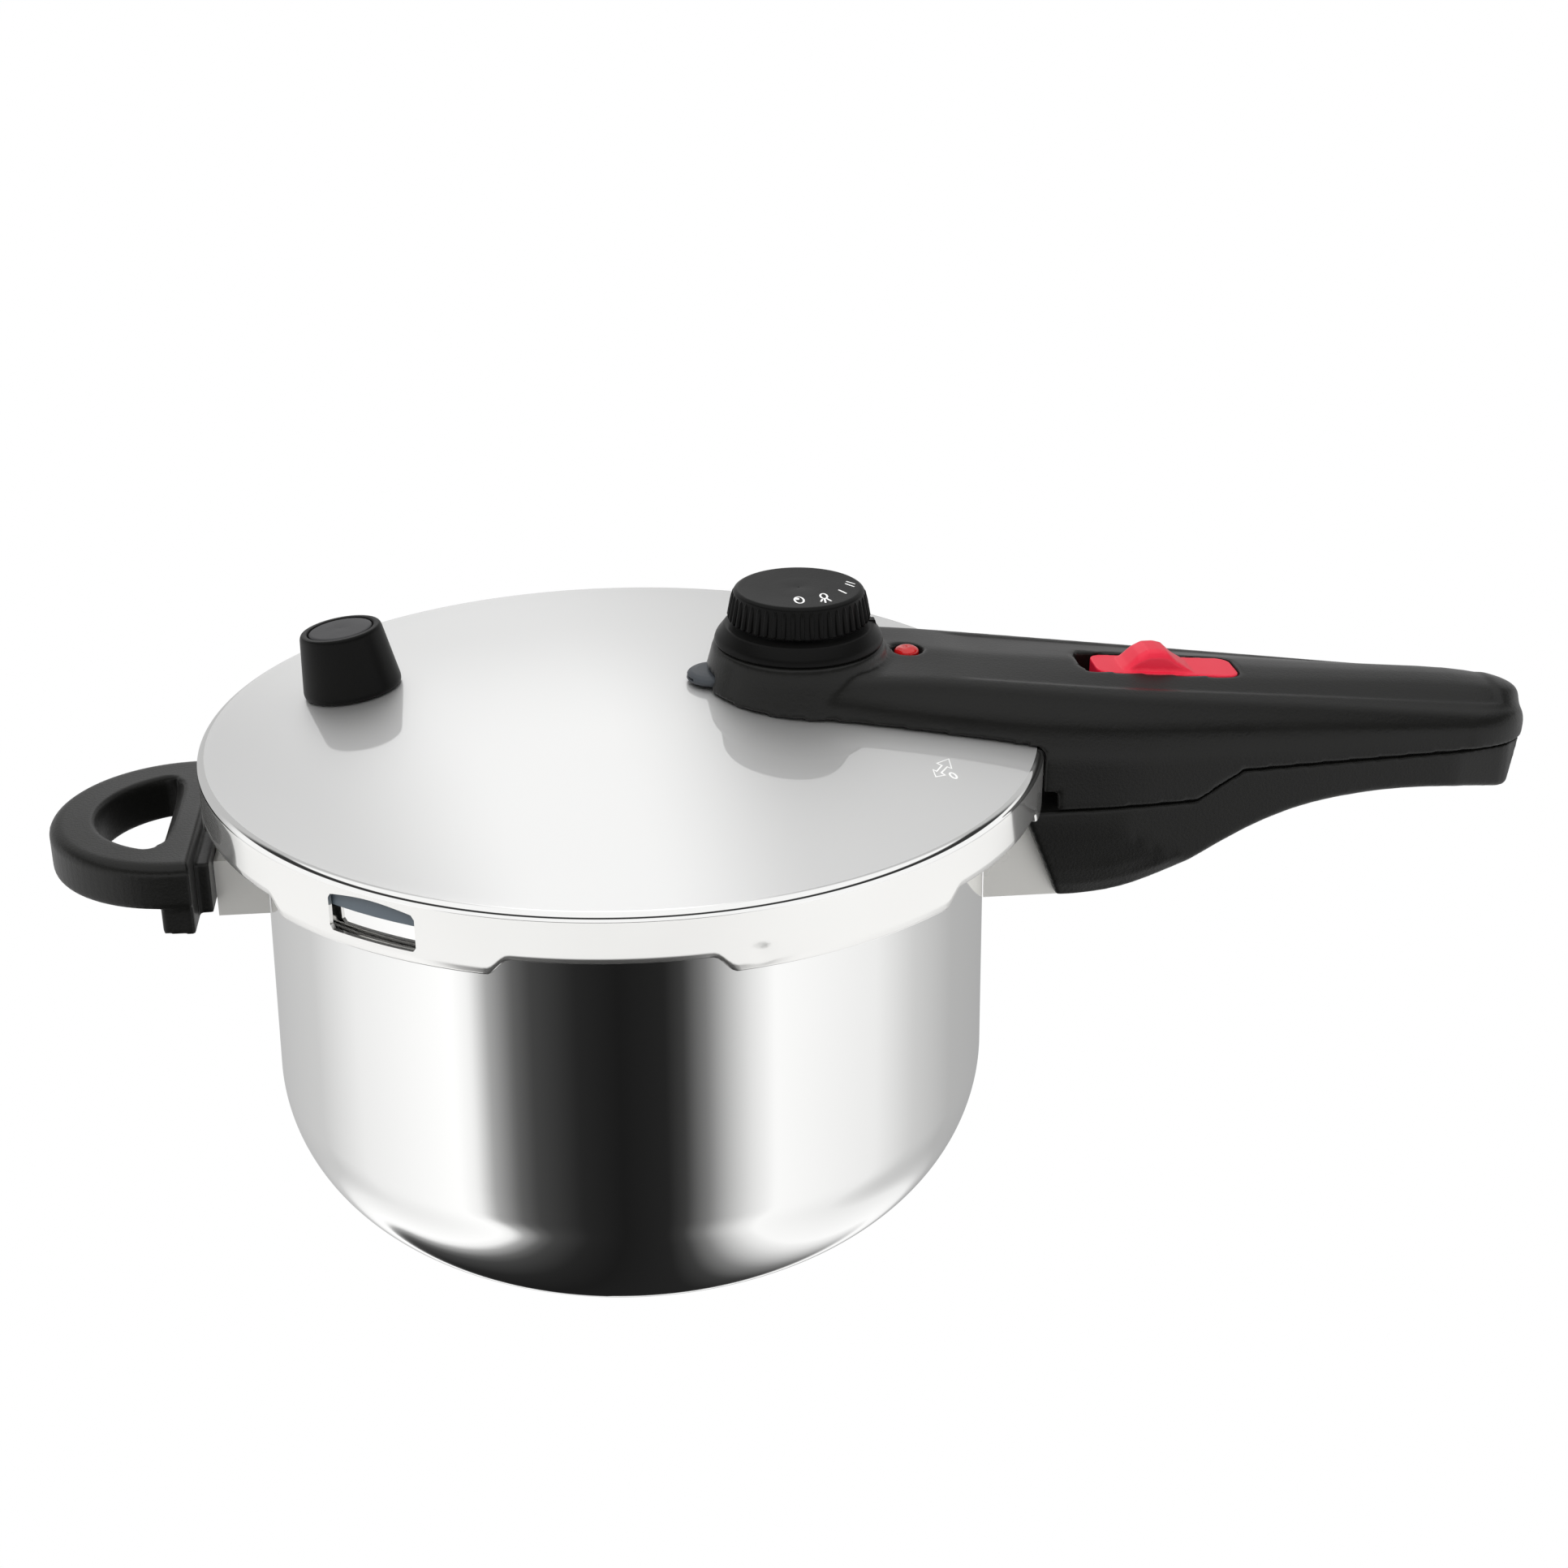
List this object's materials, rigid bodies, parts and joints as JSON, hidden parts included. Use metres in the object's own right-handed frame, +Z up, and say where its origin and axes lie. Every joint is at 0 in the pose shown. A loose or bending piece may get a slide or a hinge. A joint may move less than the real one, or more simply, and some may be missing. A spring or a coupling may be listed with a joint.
{
  "type": "stovetop pressure cooker",
  "caption": "Stovetop pressure cooker: steel pot with bayonet lid, long two-part handle with lock slider and selector knob, helper handle and safety valve.",
  "frame": {"origin": "point on the table under the pot's axis, in the middle of the base's flat face", "axes": "+X along the long handle from the pot's axis, +Z up, +Y away from the side seen in the picture"},
  "size_m": [0.4586, 0.2554, 0.1968],
  "materials": {
    "polished_steel": "mirror-polished stainless steel",
    "satin_steel": "satin stainless steel",
    "screw_steel": "zinc-bright steel",
    "spring_steel": "drawn wire",
    "aluminium": "rolled",
    "brass": "turned",
    "black_phenolic": "fine-textured matt",
    "black_plastic": "matt",
    "red_plastic": "satin",
    "red_gloss": "gloss",
    "silicone": "matt",
    "grey_silicone": "matt"
  },
  "bodies": {
    "pot": {"pot_shell": "polished_steel", "base_core": "aluminium", "base_cap": "polished_steel", "handle_bracket": "satin_steel", "helper_bracket": "satin_steel", "helper_handle": "black_phenolic", "helper_screw": "screw_steel", "lower_handle": "black_phenolic", "lower_handle_screw": "screw_steel"},
    "lid": {"lid_shell": "polished_steel", "gasket": "silicone", "upper_handle": "black_phenolic", "handle_plate": "black_plastic", "plate_screws": "screw_steel", "lid_screws": "screw_steel", "selector_collar": "black_phenolic", "steam_outlet": "grey_silicone", "valve_seat": "brass", "valve_seal": "silicone", "valve_nut": "screw_steel", "indicator_sleeve": "silicone", "safety_seat": "screw_steel", "safety_seal": "silicone", "safety_nut": "screw_steel", "safety_cap": "black_plastic", "safety_disc": "black_phenolic"},
    "selector": {"selector_knob": "black_phenolic", "selector_stem": "black_plastic", "selector_ring": "screw_steel"},
    "valve": {"valve_plunger": "screw_steel", "valve_spring": "spring_steel"},
    "indicator": {"indicator_pin": "red_gloss"},
    "lock": {"lock_slider": "red_plastic", "lock_bar": "satin_steel"},
    "safety": {"safety_plunger": "screw_steel", "safety_spring": "spring_steel"}
  },
  "joints": [
    {"name": "lid_turn", "type": "hinge", "parent": "pot", "child": "lid", "pos_m": [0, 0, 0.15], "axis": [0, 0, 1], "range_deg": [-30, 0]},
    {"name": "selector_turn", "type": "hinge", "parent": "lid", "child": "selector", "pos_m": [0.0533, 0, 0.18], "axis": [0, 0, 1], "range_deg": [-10, 80]},
    {"name": "valve_lift", "type": "slide", "parent": "lid", "child": "valve", "axis": [0, 0, 1], "range_m": [0, 0.0025], "stiffness_N_per_m": 150, "deforming": ["valve_spring"]},
    {"name": "indicator_rise", "type": "slide", "parent": "lid", "child": "indicator", "axis": [0, 0, 1], "range_m": [0, 0.004]},
    {"name": "lock_slide", "type": "slide", "parent": "lid", "child": "lock", "axis": [-1, 0, 0], "range_m": [0, 0.005]},
    {"name": "safety_lift", "type": "slide", "parent": "lid", "child": "safety", "axis": [-0.1362, 0.0322, 0.9902], "range_m": [0, 0.0025], "stiffness_N_per_m": 250, "deforming": ["safety_spring"]}
  ]
}
